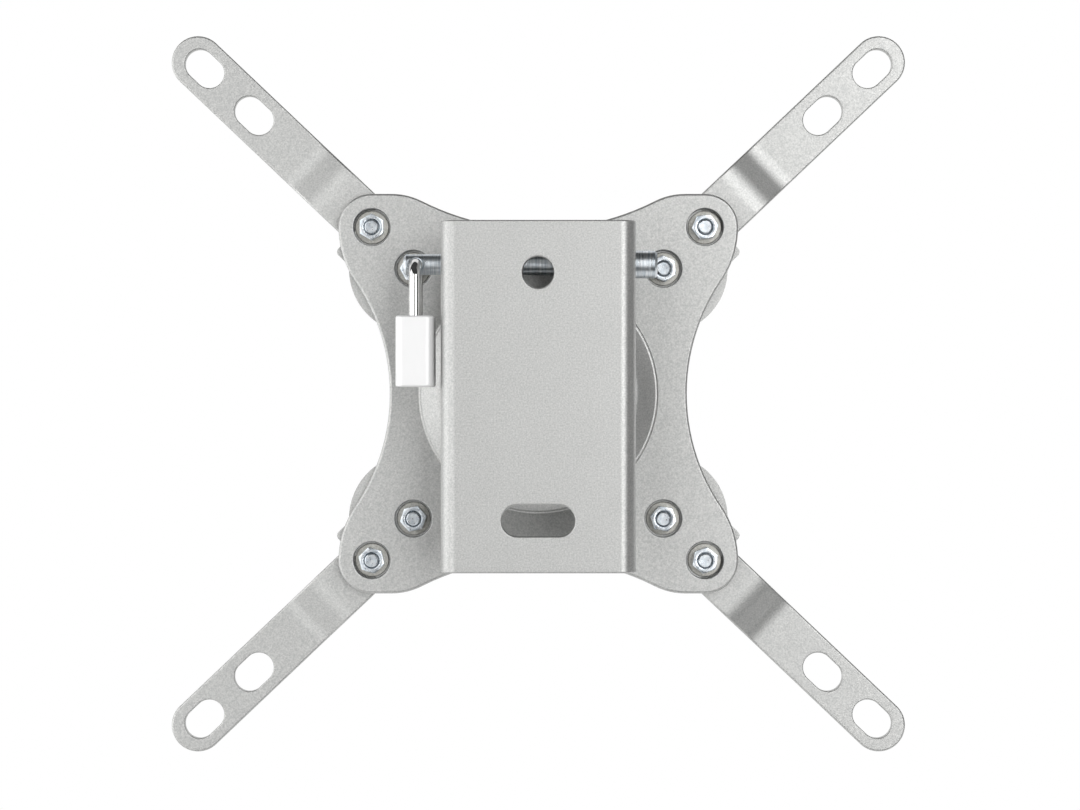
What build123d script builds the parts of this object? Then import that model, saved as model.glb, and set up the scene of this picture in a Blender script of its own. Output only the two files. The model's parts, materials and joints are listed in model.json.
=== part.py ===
from build123d import *
import math
import os

os.makedirs("parts", exist_ok=True)

# Millimetres, with +Z up and +Y from the wall towards the television.
# The origin is the centre of the wall plate's back face, which lies on the wall.

# Wall plate, a folded steel channel that is screwed to the wall
plate_width = 56.0
plate_height = 101.0
plate_depth = 23.0
plate_sheet = 2.5
plate_bend = 4.5
screw_hole_dia = 9.0
screw_hole_drop = 15.0
screw_slot_length = 21.0
screw_slot_rise = 15.0
press_edge = 0.5

# Cross rod, which carries the hanger inside the wall plate
rod_dia = 6.0
rod_z = -20.0
rod_y = 12.5
rivet_slack = 0.02

# Lock pin, pushed through both channels from the right
pin_dia = 6.0
pin_drop = 12.2
pin_y = 12.5
pin_hole_slack = 0.08
pin_head_dia = 8.0
pin_head_length = 6.4
pin_overhang = 11.0
pin_chamfer = 0.7
pin_eye_dia = 4.2
pin_eye_mouth = 5.8
pin_eye_to_tip = 3.5
pin_seat_gap = 0.05

# Padlock that hangs from the eye of the lock pin
wire_dia = 3.4
shackle_spread = 14.0
shackle_bend = 5.0
shackle_rise = 15.0
short_leg = 7.0
long_leg = 14.0
leg_slack = 0.2
leg_bore_spare = 0.5
leg_notch = 0.8
leg_notch_height = 2.4
leg_notch_drop = 3.4
lock_thick = 11.0
lock_wide = 20.0
lock_tall = 20.5
lock_corner = 2.2
lock_edge = 0.7
plug_dia = 7.0
plug_length = 12.0
plug_slack = 0.05
plug_recess = 0.3
keyway_wide = 1.2
keyway_long = 5.0
keyway_deep = 8.0
keeper_dia = 1.6
keeper_rise = 7.6
keeper_proud = 0.2

# Hanger, a smaller channel that hooks over the cross rod
hanger_gap = 0.5
hanger_sheet = 2.5
hanger_bend = 3.5
hanger_lip_y = 5.0
hanger_above_pin = 7.0
hanger_below_rod = 6.0
hook_slack = 0.3

# Ball stud, bolted through the hanger
ball_dia = 14.0
ball_y = 45.0
neck_dia = 7.0
collar_flats = 13.0
collar_height = 3.5
stud_dia = 8.0
stud_hole_slack = 0.2
thread_slack = 0.05
stud_tip = 0.9
stud_washer_dia = 16.0
stud_washer_thick = 1.6
stud_nut_flats = 13.0
stud_nut_height = 6.5
stud_end_chamfer = 0.8

# Ball socket. The head swivels and tilts up to these angles, in degrees
swivel_limit = 15.0
tilt_limit = 12.0
seat_spare_angle = 3.0
ball_gap = 0.1
seat_wall = 1.2
housing_gap = 0.1
neck_gap = 0.6
boss_wall = 1.8

# Head, centred a little above the middle of the wall plate
head_rise = 1.0
dish_dia = 72.0
dish_sheet = 2.0
dish_flange = 1.0
dish_slope = 29.0
dish_rise = 4.0
dish_edge = 0.8
spider_lead = 2.5
spider_sheet = 3.0
spider_lobe = 10.0
spider_edge = 0.8
side_waist = 44.6
side_shoulder = 28.9
top_waist = 49.5
top_shoulder = 20.0
top_flat = 6.0
recess_dia = 11.0
recess_edge = 0.4
socket_bore_gap = 0.2
rear_sheet = 2.0
rear_disc_dia = 84.0
rear_lobe = 19.5
rear_tab_width = 24.2
rear_tab_short = 7.1
rear_tab_angle = 44.2
rear_tab_corner = 1.5
cup_sheet = 1.3
cup_flange_dia = 58.0
clamp_circle = 48.0

# Hole patterns on the back of a television, side of each square
hole_square = 100.0
inner_hole_square = 75.0
arm_hole_square = 200.0

# Arms, flat bars with a joggle towards the television
arm_width = 16.0
arm_sheet = 3.0
arm_angle = 43.5
arm_inner_end = 8.0
arm_tip_past_slot = 2.75
arm_step = 5.0
arm_step_start = 17.0
arm_step_end = 27.0
arm_bend = 14.0
arm_edge = 0.6
arm_slot_length = 13.0
arm_slot_width = 9.0
arm_slot_pitch = 20.7
arm_slot_edge = 0.4
arm_inner_hole_dia = 5.5

# Small screws and nuts
screw_dia = 4.0
screw_hole_slack = 0.25
screw_head_dia = 8.0
screw_head_height = 2.4
screw_head_round = 1.0
recess_cross = 3.4
recess_cross_wide = 0.9
recess_cross_deep = 1.4
screw_point = 0.5
arm_screw_length = 10.0
clamp_screw_length = 16.0
nut_flats = 7.0
nut_flange_dia = 10.0
nut_flange_thick = 1.0
flange_nut_height = 4.2
plain_nut_height = 3.2
nut_turn = 23.0

# Places that follow from the sizes above
pin_z = plate_height / 2 - pin_drop
lock_x = -(plate_width / 2 + pin_overhang - pin_eye_to_tip)
lock_top = pin_z - shackle_rise
lock_bottom = lock_top - lock_tall
hanger_front = plate_depth
hanger_back = hanger_front - hanger_sheet
seat_inner = ball_dia / 2 + ball_gap
seat_outer = seat_inner + seat_wall
housing_inner = seat_outer + housing_gap
spider_front = ball_y - spider_lead
spider_back = spider_front + spider_sheet
rear_back = spider_back + rear_sheet
arm_back = rear_back + arm_sheet
cup_back = rear_back + cup_sheet
dish_front = spider_front - dish_sheet - dish_rise
hole_at = hole_square / 2
inner_hole_at = inner_hole_square / 2
spider_half = hole_at + spider_lobe
rear_tab_reach = hole_at * math.sqrt(2) + spider_lobe - rear_tab_short
arm_slot_at = (arm_hole_square - hole_square) / 2 * math.sqrt(2)
arm_inner_at = (hole_square - inner_hole_square) / 2 * math.sqrt(2)
clamp_at = clamp_circle / 2 / math.sqrt(2)
corner_signs = [(-1, 1), (1, 1), (-1, -1), (1, -1)]
lean_limit = math.degrees(
    math.acos(math.cos(math.radians(swivel_limit)) * math.cos(math.radians(tilt_limit)))
)


def slab(outline, near_y, far_y):
    """Extrude an outline drawn in X and Z between two depths."""
    return extrude(Plane.XZ.offset(-far_y) * outline, amount=far_y - near_y)


def drill(x, z, dia, near_y, far_y):
    """A round bar along Y, for a hole through a plate."""
    return slab(Pos(x, z) * Circle(dia / 2), near_y, far_y)


def bar(x_from, x_to, dia, y, z):
    """A round bar along X."""
    turned = Rot(0, 90, 0) * Cylinder(dia / 2, x_to - x_from)
    return Pos((x_from + x_to) / 2, y, z) * turned


def spin(profile):
    """Turn a profile, drawn as radius and depth, about the Y axis."""
    return revolve(profile, axis=Axis.Y, revolution_arc=360)


def joined(pieces):
    """Fuse touching pieces into one solid."""
    whole = pieces[0]
    for piece in pieces[1:]:
        whole = whole + piece
    return whole


def write(node, pieces):
    """Write one node, whose pieces stay separate solids."""
    shapes = pieces if isinstance(pieces, list) else [pieces]
    solids = [solid for shape in shapes for solid in shape.solids()]
    body = solids[0] if len(solids) == 1 else Compound(children=solids)
    body.label = node
    export_step(body, f"parts/{node}.step")


def folded_channel(width, web_y, lip_y, sheet, bend, low_z, high_z):
    """A sheet folded to a U, with its web at web_y and its lips at lip_y."""
    inward = 1 if lip_y > web_y else -1

    def trough(half, base, mouth, radius):
        rim = FilletPolyline((-half, mouth), (-half, base), (half, base), (half, mouth), radius=radius)
        return make_face(rim + Line((half, mouth), (-half, mouth)))

    outside = trough(width / 2, web_y, lip_y, bend)
    inside = trough(width / 2 - sheet, web_y + inward * sheet, lip_y + inward * sheet, bend - sheet)
    section = Plane.XY.offset(low_z) * (outside - inside)
    return extrude(section, amount=high_z - low_z)


def hole_rims(faces):
    """The edges round the holes in some faces."""
    return [edge for face in faces for wire in face.inner_wires() for edge in wire.edges()]


def wall_plate():
    """The channel on the wall, with a screw hole, a screw slot and holes for pin and rod."""
    half_high = plate_height / 2
    plate = folded_channel(
        plate_width, 0, plate_depth, plate_sheet, plate_bend, -half_high, half_high
    )
    ends = plate.edges().group_by(Axis.Z)
    plate = fillet(ends[0] + ends[-1], press_edge)
    top_hole = Pos(0, half_high - screw_hole_drop) * Circle(screw_hole_dia / 2)
    low_slot = Pos(0, screw_slot_rise - half_high) * SlotOverall(screw_slot_length, screw_hole_dia)
    for cut in (top_hole, low_slot):
        plate -= slab(cut, 0, plate_sheet)
    plate = fillet(hole_rims(plate.faces().sort_by(Axis.Y)[:1]), press_edge)
    plate -= bar(-plate_width, plate_width, pin_dia + 2 * pin_hole_slack, pin_y, pin_z)
    plate -= bar(-plate_width, plate_width, rod_dia + 2 * rivet_slack, rod_y, rod_z)
    return plate


def hanger_bracket():
    """The channel that carries the ball stud and hooks over the cross rod."""
    width = plate_width - 2 * plate_sheet - 2 * hanger_gap
    low = rod_z - hanger_below_rod
    high = pin_z + hanger_above_pin
    bracket = folded_channel(width, hanger_front, hanger_lip_y, hanger_sheet, hanger_bend, low, high)
    bracket -= drill(0, head_rise, stud_dia + 2 * stud_hole_slack, 0, ball_y)
    bracket -= bar(-width, width, pin_dia + 2 * pin_hole_slack, pin_y, pin_z)
    hook_dia = rod_dia + 2 * hook_slack
    bracket -= bar(-width, width, hook_dia, rod_y, rod_z)
    mouth = Box(2 * width, hook_dia, 2 * hanger_below_rod)
    bracket -= Pos(0, rod_y, rod_z - hanger_below_rod) * mouth
    return bracket


def cross_rod():
    """The rod riveted flush between the wall plate's flanges."""
    return bar(-plate_width / 2, plate_width / 2, rod_dia, rod_y, rod_z)


def lock_pin():
    """The headed pin with a countersunk eye for the padlock."""
    under_head = plate_width / 2 + pin_seat_gap
    tip = -(plate_width / 2 + pin_overhang)
    head_end = under_head + pin_head_length
    profile = Polyline(
        (tip, 0),
        (tip, pin_dia / 2 - pin_chamfer),
        (tip + pin_chamfer, pin_dia / 2),
        (under_head, pin_dia / 2),
        (under_head, pin_head_dia / 2),
        (head_end - pin_chamfer, pin_head_dia / 2),
        (head_end, pin_head_dia / 2 - pin_chamfer),
        (head_end, 0),
        close=True,
    )
    pin = revolve(make_face(profile), axis=Axis.X, revolution_arc=360)
    pin = Pos(0, pin_y, pin_z) * pin
    eye = spin(
        make_face(
            Polyline(
                (0, -pin_dia),
                (pin_eye_mouth / 2 + pin_dia / 2, -pin_dia),
                (pin_eye_dia / 2, (pin_eye_mouth - pin_eye_dia) / 2 - pin_dia / 2),
                (pin_eye_dia / 2, pin_dia / 2 - (pin_eye_mouth - pin_eye_dia) / 2),
                (pin_eye_mouth / 2 + pin_dia / 2, pin_dia),
                (0, pin_dia),
                close=True,
            )
        )
    )
    return pin - Pos(lock_x, pin_y, pin_z) * eye


def padlock_shackle():
    """The bent wire with a short and a long leg, each notched for the bolt."""
    near = pin_y - shackle_spread / 2
    far = pin_y + shackle_spread / 2
    path = FilletPolyline(
        (lock_x, near, lock_top - short_leg),
        (lock_x, near, pin_z),
        (lock_x, far, pin_z),
        (lock_x, far, lock_top - long_leg),
        radius=shackle_bend,
    )
    foot = Plane(origin=(lock_x, near, lock_top - short_leg), z_dir=(0, 0, 1))
    shackle = sweep(foot * Circle(wire_dia / 2), path=path)
    notch = Box(wire_dia, 2 * leg_notch, leg_notch_height)
    inner_near = near + wire_dia / 2
    inner_far = far - wire_dia / 2
    for inner in (inner_near, inner_far):
        shackle -= Pos(lock_x, inner, lock_top - leg_notch_drop) * notch
    return shackle


def padlock_body():
    """The lock case, bored for the legs, the plug and the plug's keeper pin."""
    case = Pos(lock_x, pin_y, (lock_top + lock_bottom) / 2) * Box(lock_thick, lock_wide, lock_tall)
    case = fillet(case.edges().filter_by(Axis.Z), lock_corner)
    rims = case.edges().group_by(Axis.Z)
    case = fillet(rims[0] + rims[-1], lock_edge)
    for side, leg in ((-1, short_leg), (1, long_leg)):
        depth = leg + leg_bore_spare
        bore = Cylinder(wire_dia / 2 + leg_slack, depth)
        case -= Pos(lock_x, pin_y + side * shackle_spread / 2, lock_top - depth / 2) * bore
    plug_bore = Cylinder(plug_dia / 2 + plug_slack, plug_length + plug_slack)
    case -= Pos(lock_x, pin_y, lock_bottom + (plug_length + plug_slack) / 2) * plug_bore
    case -= bar(lock_x - lock_thick, lock_x, keeper_dia + 2 * rivet_slack, pin_y, lock_bottom + keeper_rise)
    return case


def padlock_plug():
    """The keyed cylinder in the bottom of the lock case."""
    length = plug_length - plug_recess
    low = lock_bottom + plug_recess
    plug = Pos(lock_x, pin_y, low + length / 2) * Cylinder(plug_dia / 2, length)
    keyway = Pos(lock_x, pin_y, low + keyway_deep / 2) * Box(keyway_wide, keyway_long, keyway_deep)
    return plug - keyway


def padlock_keeper():
    """The small pin in the case's side that keeps the plug in."""
    outer = lock_x - lock_thick / 2 - keeper_proud
    inner = lock_x - plug_dia / 2 - plug_slack
    return bar(outer, inner, keeper_dia, pin_y, lock_bottom + keeper_rise)


def hex_bar(flats, near_y, far_y):
    """A hexagonal bar along Y with its corners chamfered at both ends."""
    corner_radius = flats / math.sqrt(3)
    prism = slab(RegularPolygon(corner_radius, 6), near_y, far_y)
    break_in = corner_radius - flats / 2
    turned = spin(
        make_face(
            Polyline(
                (0, near_y),
                (flats / 2, near_y),
                (corner_radius, near_y + break_in),
                (corner_radius, far_y - break_in),
                (flats / 2, far_y),
                (0, far_y),
                close=True,
            )
        )
    )
    return prism & turned


def ball_stud():
    """Ball, neck, hexagonal collar and threaded shank in one turned piece."""
    collar_top = hanger_front + collar_height
    end = hanger_back - stud_washer_thick - stud_nut_height - stud_tip
    stem = spin(
        make_face(
            Polyline(
                (0, end),
                (stud_dia / 2 - stud_end_chamfer, end),
                (stud_dia / 2, end + stud_end_chamfer),
                (stud_dia / 2, hanger_front),
                (neck_dia / 2, collar_top),
                (neck_dia / 2, ball_y),
                (0, ball_y),
                close=True,
            )
        )
    )
    stud = stem + hex_bar(collar_flats, hanger_front, collar_top) + Pos(0, ball_y, 0) * Sphere(ball_dia / 2)
    return Pos(0, 0, head_rise) * stud


def stud_washer():
    """The washer between the hanger and the stud's nut."""
    ring = Circle(stud_washer_dia / 2) - Circle(stud_dia / 2 + stud_hole_slack)
    return slab(Pos(0, head_rise) * ring, hanger_back - stud_washer_thick, hanger_back)


def stud_nut():
    """The hexagonal nut on the stud's thread."""
    seat = hanger_back - stud_washer_thick
    nut = hex_bar(stud_nut_flats, seat - stud_nut_height, seat)
    nut -= drill(0, 0, stud_dia + 2 * thread_slack, 0, ball_y)
    return Pos(0, 0, head_rise) * nut


def neck_room():
    """The cone that the neck sweeps when the head leans to its limit."""
    lean = math.radians(lean_limit)
    start = (neck_dia / 2 + neck_gap) / math.cos(lean)
    reach = dish_dia / 2
    mouth = start + reach * math.tan(lean)
    outline = Polyline((0, ball_y), (start, ball_y), (mouth, ball_y - reach), (0, ball_y - reach), close=True)
    return spin(make_face(outline))


def ball_shell(inner, outer, near_y, far_y):
    """The part of a hollow sphere about the ball that lies between two depths."""
    ring = Pos(0, ball_y) * (Circle(outer) - Circle(inner))
    window = Polyline((0, near_y), (2 * outer, near_y), (2 * outer, far_y), (0, far_y), close=True)
    return spin(ring & make_face(window))


def ball_seats():
    """The two nylon shells round the ball, parted wide enough to tilt freely."""
    half_gap = seat_outer * math.sin(math.radians((tilt_limit + seat_spare_angle) / 2))
    front = ball_shell(seat_inner, seat_outer, ball_y - seat_outer, ball_y - half_gap) - neck_room()
    rear = ball_shell(seat_inner, seat_outer, ball_y + half_gap, ball_y + seat_outer)
    return front, rear


def clamp_holes(near_y, far_y):
    """Four bars on the clamp circle, for the holes of the clamp screws."""
    dia = screw_dia + 2 * screw_hole_slack
    return joined([drill(x * clamp_at, z * clamp_at, dia, near_y, far_y) for x, z in corner_signs])


def square_holes(dia, near_y, far_y):
    """Eight bars at the corners of the two hole squares."""
    spots = [(x * at, z * at) for at in (hole_at, inner_hole_at) for x, z in corner_signs]
    return joined([drill(x, z, dia, near_y, far_y) for x, z in spots])


def socket_dish():
    """The pressed dish whose raised middle holds the ball from the wall's side."""
    slope = math.radians(dish_slope)
    miter = dish_sheet * math.tan(slope / 2)
    rim_r = dish_dia / 2
    foot_r = rim_r - dish_flange
    top_r = foot_r - dish_rise / math.tan(slope)
    profile = make_face(
        Polyline(
            (0, dish_front),
            (top_r, dish_front),
            (foot_r, spider_front - dish_sheet),
            (rim_r, spider_front - dish_sheet),
            (rim_r, spider_front),
            (foot_r - miter, spider_front),
            (top_r - miter, dish_front + dish_sheet),
            (0, dish_front + dish_sheet),
            close=True,
        )
    )
    rim_corners = profile.vertices().sort_by(Axis.X)[-2:]
    dish = spin(fillet(rim_corners, dish_edge))
    boss_outer = housing_inner + boss_wall
    dish += ball_shell(housing_inner, boss_outer, ball_y - boss_outer, spider_front)
    dish -= Pos(0, ball_y, 0) * Sphere(housing_inner)
    dish -= neck_room()
    return dish - clamp_holes(dish_front, spider_front)


def dipped_edge(waist, shoulder, flat):
    """Half-plate edge along the top, from one lobe to the other, dipping to its waist."""
    start = hole_at - flat
    dip = spider_half - waist
    hollow = (dip**2 + start**2) / (2 * dip) - shoulder
    share = shoulder / (shoulder + hollow)
    join_x = start * (1 - share)
    join_z = spider_half - share * dip
    edge = ThreePointArc((-join_x, join_z), (0, waist), (join_x, join_z))
    for side in (-1, 1):
        edge += TangentArc((side * start, spider_half), (side * join_x, join_z), tangent=(-side, 0))
        if flat > 0:
            edge += Line((side * start, spider_half), (side * hole_at, spider_half))
    return edge


def spider_outline():
    """The waisted plate with a round lobe at each corner."""
    lobe = TangentArc((hole_at, spider_half), (spider_half, hole_at), tangent=(1, 0))
    outline = Curve()
    for quarter in range(4):
        if quarter % 2 == 0:
            edge = dipped_edge(top_waist, top_shoulder, top_flat)
        else:
            edge = dipped_edge(side_waist, side_shoulder, 0)
        outline += Rot(0, 0, -90 * quarter) * edge
        outline += Rot(0, 0, -90 * quarter) * lobe
    return make_face(outline)


def spider_plate():
    """The pressed plate that the wall plate sits in front of."""
    plate = slab(spider_outline(), spider_front, spider_back)
    rims = plate.edges().group_by(Axis.Y)
    plate = fillet(rims[0] + rims[-1], spider_edge)
    plate -= square_holes(recess_dia, spider_front, spider_back)
    plate = fillet(hole_rims(plate.faces().sort_by(Axis.Y)[:1]), recess_edge)
    plate -= drill(0, 0, 2 * (housing_inner + socket_bore_gap), spider_front, spider_back)
    return plate - clamp_holes(spider_front, spider_back)


def rear_plate():
    """The plate behind the spider plate that the arms are bolted to."""
    outline = Circle(rear_disc_dia / 2)
    tab = RectangleRounded(2 * rear_tab_reach, rear_tab_width, rear_tab_corner)
    for angle in (rear_tab_angle, -rear_tab_angle):
        outline += Rot(0, 0, angle) * tab
    for x, z in corner_signs:
        outline += Pos(x * inner_hole_at, z * inner_hole_at) * Circle(rear_lobe)
    plate = slab(outline, spider_back, rear_back)
    plate -= drill(0, 0, 2 * (housing_inner + socket_bore_gap), spider_back, rear_back)
    plate -= square_holes(screw_dia + 2 * screw_hole_slack, spider_back, rear_back)
    return plate - clamp_holes(spider_back, rear_back)


def rear_cup():
    """The flanged cap that holds the ball from the television's side."""
    flange = Circle(cup_flange_dia / 2) - Circle(housing_inner)
    cup = slab(flange, rear_back, cup_back)
    cup += ball_shell(housing_inner, housing_inner + cup_sheet, rear_back, ball_y + housing_inner + cup_sheet)
    return cup - clamp_holes(rear_back, cup_back)


def arm(x_sign, z_sign):
    """One arm, drawn along X from its outer bolt hole and turned to its corner."""
    tip = arm_slot_at + arm_tip_past_slot + arm_width / 2
    inner_end = -arm_inner_at - arm_inner_end
    inner_y = rear_back + arm_sheet / 2
    outer_y = inner_y + arm_step
    path = FilletPolyline(
        (inner_end - arm_width, inner_y, 0),
        (arm_step_start, inner_y, 0),
        (arm_step_end, outer_y, 0),
        (tip + arm_width, outer_y, 0),
        radius=arm_bend,
    )
    start = Plane(origin=path @ 0, z_dir=path % 0, x_dir=(0, 0, 1))
    strip = sweep(start * Rectangle(arm_width, arm_sheet), path=path)
    length = tip - inner_end
    strip &= slab(Pos((tip + inner_end) / 2, 0) * SlotOverall(length, arm_width), rear_back, outer_y + arm_sheet)
    long_edges = strip.edges() - strip.edges().filter_by(Axis.Y) - strip.edges().filter_by(Axis.Z)
    strip = fillet(long_edges, arm_edge)
    far_y = outer_y + arm_sheet
    for slot_at in (arm_slot_at, arm_slot_at - arm_slot_pitch):
        strip -= slab(Pos(slot_at, 0) * SlotOverall(arm_slot_length, arm_slot_width), rear_back, far_y)
    strip = fillet(hole_rims(strip.faces()), arm_slot_edge)
    strip -= drill(0, 0, screw_dia + 2 * screw_hole_slack, rear_back, far_y)
    strip -= drill(-arm_inner_at, 0, arm_inner_hole_dia, rear_back, far_y)
    turn = arm_angle if x_sign * z_sign > 0 else -arm_angle
    if x_sign < 0:
        turn += 180
    return Pos(x_sign * hole_at, 0, z_sign * hole_at) * (Rot(0, -turn, 0) * strip)


def pan_screw(seat_y, length):
    """A pan-head screw with a cross recess, its head on the television's side."""
    head_top = seat_y + screw_head_height
    end = seat_y - length
    radius = screw_dia / 2
    profile = make_face(
        Polyline(
            (0, end),
            (radius - screw_point, end),
            (radius, end + screw_point),
            (radius, seat_y),
            (screw_head_dia / 2, seat_y),
            (screw_head_dia / 2, head_top),
            (0, head_top),
            close=True,
        )
    )
    crown = profile.vertices().group_by(Axis.Y)[-1].sort_by(Axis.X)[-1]
    screw = spin(fillet(crown, screw_head_round))
    for blade in (Rectangle(recess_cross, recess_cross_wide), Rectangle(recess_cross_wide, recess_cross)):
        screw -= slab(blade, head_top - recess_cross_deep, head_top)
    return screw


def plain_nut(seat_y, height):
    """A hexagonal nut whose seat faces the television."""
    nut = hex_bar(nut_flats, seat_y - height, seat_y)
    return nut - drill(0, 0, screw_dia + 2 * thread_slack, seat_y - height, seat_y)


def flange_nut(seat_y):
    """A hexagonal nut with a round flange at its seat."""
    flange_r = nut_flange_dia / 2
    flange = spin(
        make_face(
            Polyline(
                (0, seat_y - 2 * nut_flange_thick),
                (nut_flats / 2, seat_y - 2 * nut_flange_thick),
                (flange_r, seat_y - nut_flange_thick / 2),
                (flange_r, seat_y),
                (0, seat_y),
                close=True,
            )
        )
    )
    nut = hex_bar(nut_flats, seat_y - flange_nut_height, seat_y) + flange
    return nut - drill(0, 0, screw_dia + 2 * thread_slack, seat_y - flange_nut_height, seat_y)


def spread(piece, spots):
    """A copy of a screw or nut at each spot, each turned on by the same angle."""
    return [
        Pos(x, 0, z + head_rise) * (Rot(0, nut_turn * number, 0) * piece)
        for number, (x, z) in enumerate(spots)
    ]


head = Pos(0, 0, head_rise)
arm_spots = [(x * at, z * at) for at in (hole_at, inner_hole_at) for x, z in corner_signs]
clamp_spots = [(x * clamp_at, z * clamp_at) for x, z in corner_signs]
arm_names = ["arm_upper_left", "arm_upper_right", "arm_lower_left", "arm_lower_right"]
front_seat, rear_seat = ball_seats()

write("wall_plate", wall_plate())
write("cross_rod", cross_rod())
write("hanger_bracket", hanger_bracket())
write("ball_stud", ball_stud())
write("stud_washer", stud_washer())
write("stud_nut", stud_nut())
write("lock_pin", lock_pin())
write("padlock_shackle", padlock_shackle())
write("padlock_body", padlock_body())
write("padlock_plug", padlock_plug())
write("padlock_keeper", padlock_keeper())
write("front_seat", head * front_seat)
write("rear_seat", head * rear_seat)
write("socket_dish", head * socket_dish())
write("spider_plate", head * spider_plate())
write("rear_plate", head * rear_plate())
write("rear_cup", head * rear_cup())
for name, (x_sign, z_sign) in zip(arm_names, corner_signs):
    write(name, head * arm(x_sign, z_sign))
write("arm_screws", spread(pan_screw(arm_back, arm_screw_length), arm_spots))
write("arm_nuts", spread(flange_nut(spider_back), arm_spots))
write("clamp_screws", spread(pan_screw(cup_back, clamp_screw_length), clamp_spots))
write("clamp_nuts", spread(plain_nut(dish_front, plain_nut_height), clamp_spots))
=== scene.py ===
"""Looks of the swivel television wall mount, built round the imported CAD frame.

The folded, pressed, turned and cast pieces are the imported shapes, merged to smooth skins. The
head's small screws and nuts are modelled here, with thread rings and rounded edges.
"""

import json
import logging
import math
from dataclasses import dataclass, field
from enum import Enum
from typing import Iterable, Sequence

import bpy
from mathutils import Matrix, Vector

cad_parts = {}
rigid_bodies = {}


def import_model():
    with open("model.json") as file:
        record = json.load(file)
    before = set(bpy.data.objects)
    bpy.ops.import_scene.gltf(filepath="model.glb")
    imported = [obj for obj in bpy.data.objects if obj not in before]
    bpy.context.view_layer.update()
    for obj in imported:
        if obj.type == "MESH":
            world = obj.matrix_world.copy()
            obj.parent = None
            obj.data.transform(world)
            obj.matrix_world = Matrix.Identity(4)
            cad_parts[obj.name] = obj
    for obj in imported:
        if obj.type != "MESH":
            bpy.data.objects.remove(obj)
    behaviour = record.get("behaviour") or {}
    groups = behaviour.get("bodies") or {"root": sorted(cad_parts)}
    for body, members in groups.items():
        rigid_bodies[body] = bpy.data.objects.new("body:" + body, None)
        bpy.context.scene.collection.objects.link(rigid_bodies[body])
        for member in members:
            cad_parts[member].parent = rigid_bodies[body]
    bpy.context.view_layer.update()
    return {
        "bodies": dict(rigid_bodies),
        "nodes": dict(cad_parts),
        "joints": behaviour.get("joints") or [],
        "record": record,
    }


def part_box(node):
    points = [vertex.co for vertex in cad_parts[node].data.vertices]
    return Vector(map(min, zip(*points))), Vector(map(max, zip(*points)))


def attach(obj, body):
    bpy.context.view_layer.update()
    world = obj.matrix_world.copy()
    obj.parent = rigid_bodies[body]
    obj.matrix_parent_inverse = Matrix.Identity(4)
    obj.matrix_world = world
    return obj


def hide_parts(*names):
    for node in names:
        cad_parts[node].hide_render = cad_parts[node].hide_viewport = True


log = logging.getLogger("tv_mount")
MM = 0.001

# Red, green, blue and alpha; radius and depth in a lathe profile; X, Z and turn of a copy.
Colour = tuple[float, float, float, float]
Point = tuple[float, float]
Spot = tuple[float, float, float]

WHITE: Colour = (1.0, 1.0, 1.0, 1.0)
# Sockets of a Mix node that carry colours, which share their names with its other sockets.
MIX_FIRST, MIX_SECOND, MIX_RESULT = 6, 7, 2
# Layers of ever finer noise in the patches, the flecks and the waves of a finish.
CLOUD_DETAIL, FLECK_DETAIL, WAVE_DETAIL = 4.0, 3.0, 2.0
# How strongly the finer layers count in the patches.
CLOUD_ROUGHNESS = 0.6
# Middle stretch of a noise's values, between which a pattern goes from one end to the other.
CLOUD_SPAN = (0.35, 0.65)
WAVE_SPAN = (0.3, 0.7)
# Distance under which the corners of a turned piece are merged.
TURNED_MERGE = MM / 500
# Weight of the large faces in the normals, at which they stay flat.
FLAT_FACES = 100


class Slot(Enum):
    """Material slots of the record."""

    POWDER = "powder_coat"
    ZINC = "zinc_plate"
    CHROME = "chrome_wire"
    ENAMEL = "white_enamel"
    BRASS = "brass_plug"
    NYLON = "nylon"


class Work(Enum):
    """What a tool does to a piece."""

    CUT = "DIFFERENCE"
    MEET = "INTERSECT"


def linear(hex_colour: str) -> Colour:
    """Turn an sRGB hex value to linear red, green, blue and alpha.

    Args:
        hex_colour: Six hex digits, such as "c0c0bf".

    Returns:
        The linear colour with an alpha of 1.
    """

    def channel(part: str) -> float:
        """Linear value of one two-digit channel, by the curve of the sRGB standard."""
        value = int(part, 16) / 255
        return value / 12.92 if value <= 0.04045 else ((value + 0.055) / 1.055) ** 2.4

    return (channel(hex_colour[0:2]), channel(hex_colour[2:4]), channel(hex_colour[4:6]), 1.0)


def add_node(
    tree: bpy.types.NodeTree,
    kind: str,
    settings: dict[str, object] | None = None,
    inputs: dict[str | int, object] | None = None,
) -> bpy.types.Node:
    """Add a node with its settings and its inputs.

    Args:
        tree: The node tree that gets the node.
        kind: The node's type name.
        settings: Properties of the node itself.
        inputs: Socket name or number to a value, or to the output socket that feeds it.

    Returns:
        The new node.
    """
    node = tree.nodes.new(kind)
    for name, value in (settings or {}).items():
        setattr(node, name, value)
    for key, value in (inputs or {}).items():
        socket = node.inputs[key]
        if isinstance(value, bpy.types.NodeSocket):
            tree.links.new(value, socket)
        else:
            socket.default_value = value
    return node


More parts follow.
